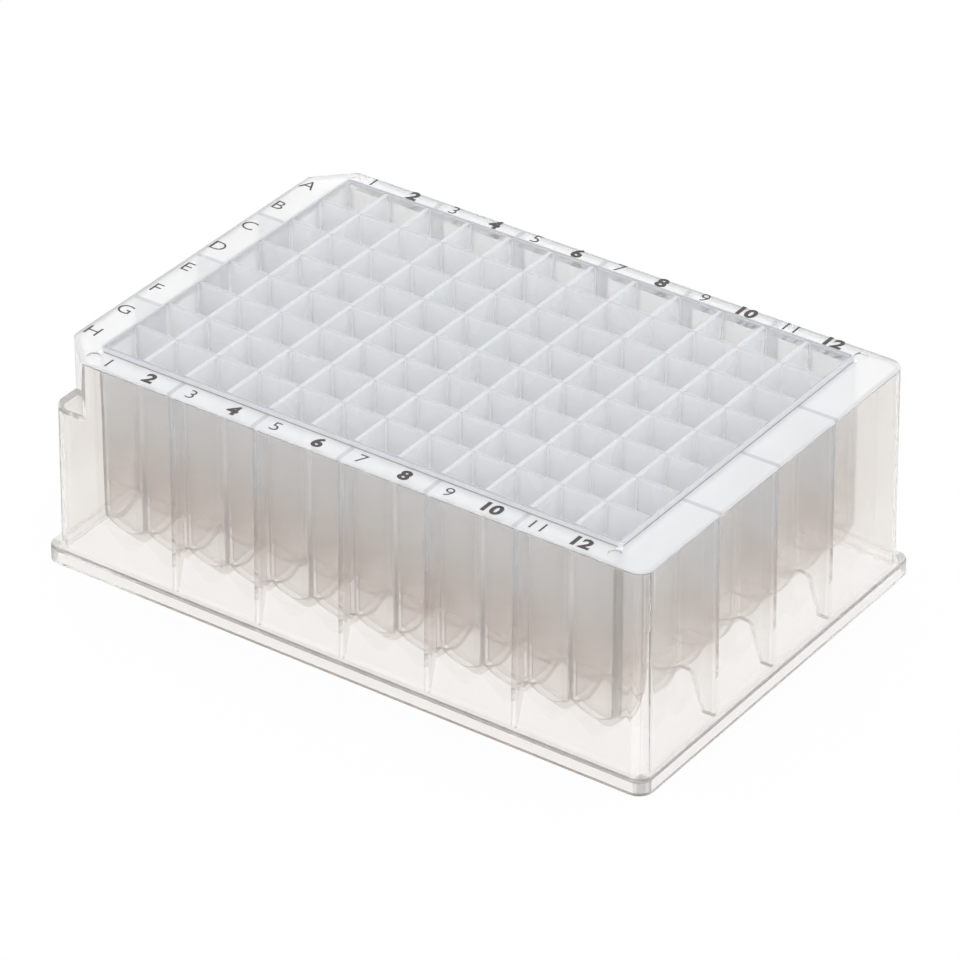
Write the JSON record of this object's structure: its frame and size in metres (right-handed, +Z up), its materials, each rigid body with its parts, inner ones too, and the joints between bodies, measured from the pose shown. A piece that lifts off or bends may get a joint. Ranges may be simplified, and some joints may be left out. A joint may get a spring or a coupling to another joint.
{
  "type": "well plate",
  "caption": "Square-well deep sample plate of clear polypropylene, moulded in one piece, with conical well bottoms, a skirt and two notched corners.",
  "frame": {"origin": "middle of the footprint, on the surface that the plate stands on", "axes": "+X from column 1 to column 12, +Y from row H to row A, +Z up"},
  "size_m": [0.1278, 0.0854, 0.044],
  "materials": {
    "polypropylene": "natural uncoloured polypropylene, milky and see-through, smooth moulded surface"
  },
  "bodies": {
    "root": {"well_plate": "polypropylene"}
  },
  "joints": []
}
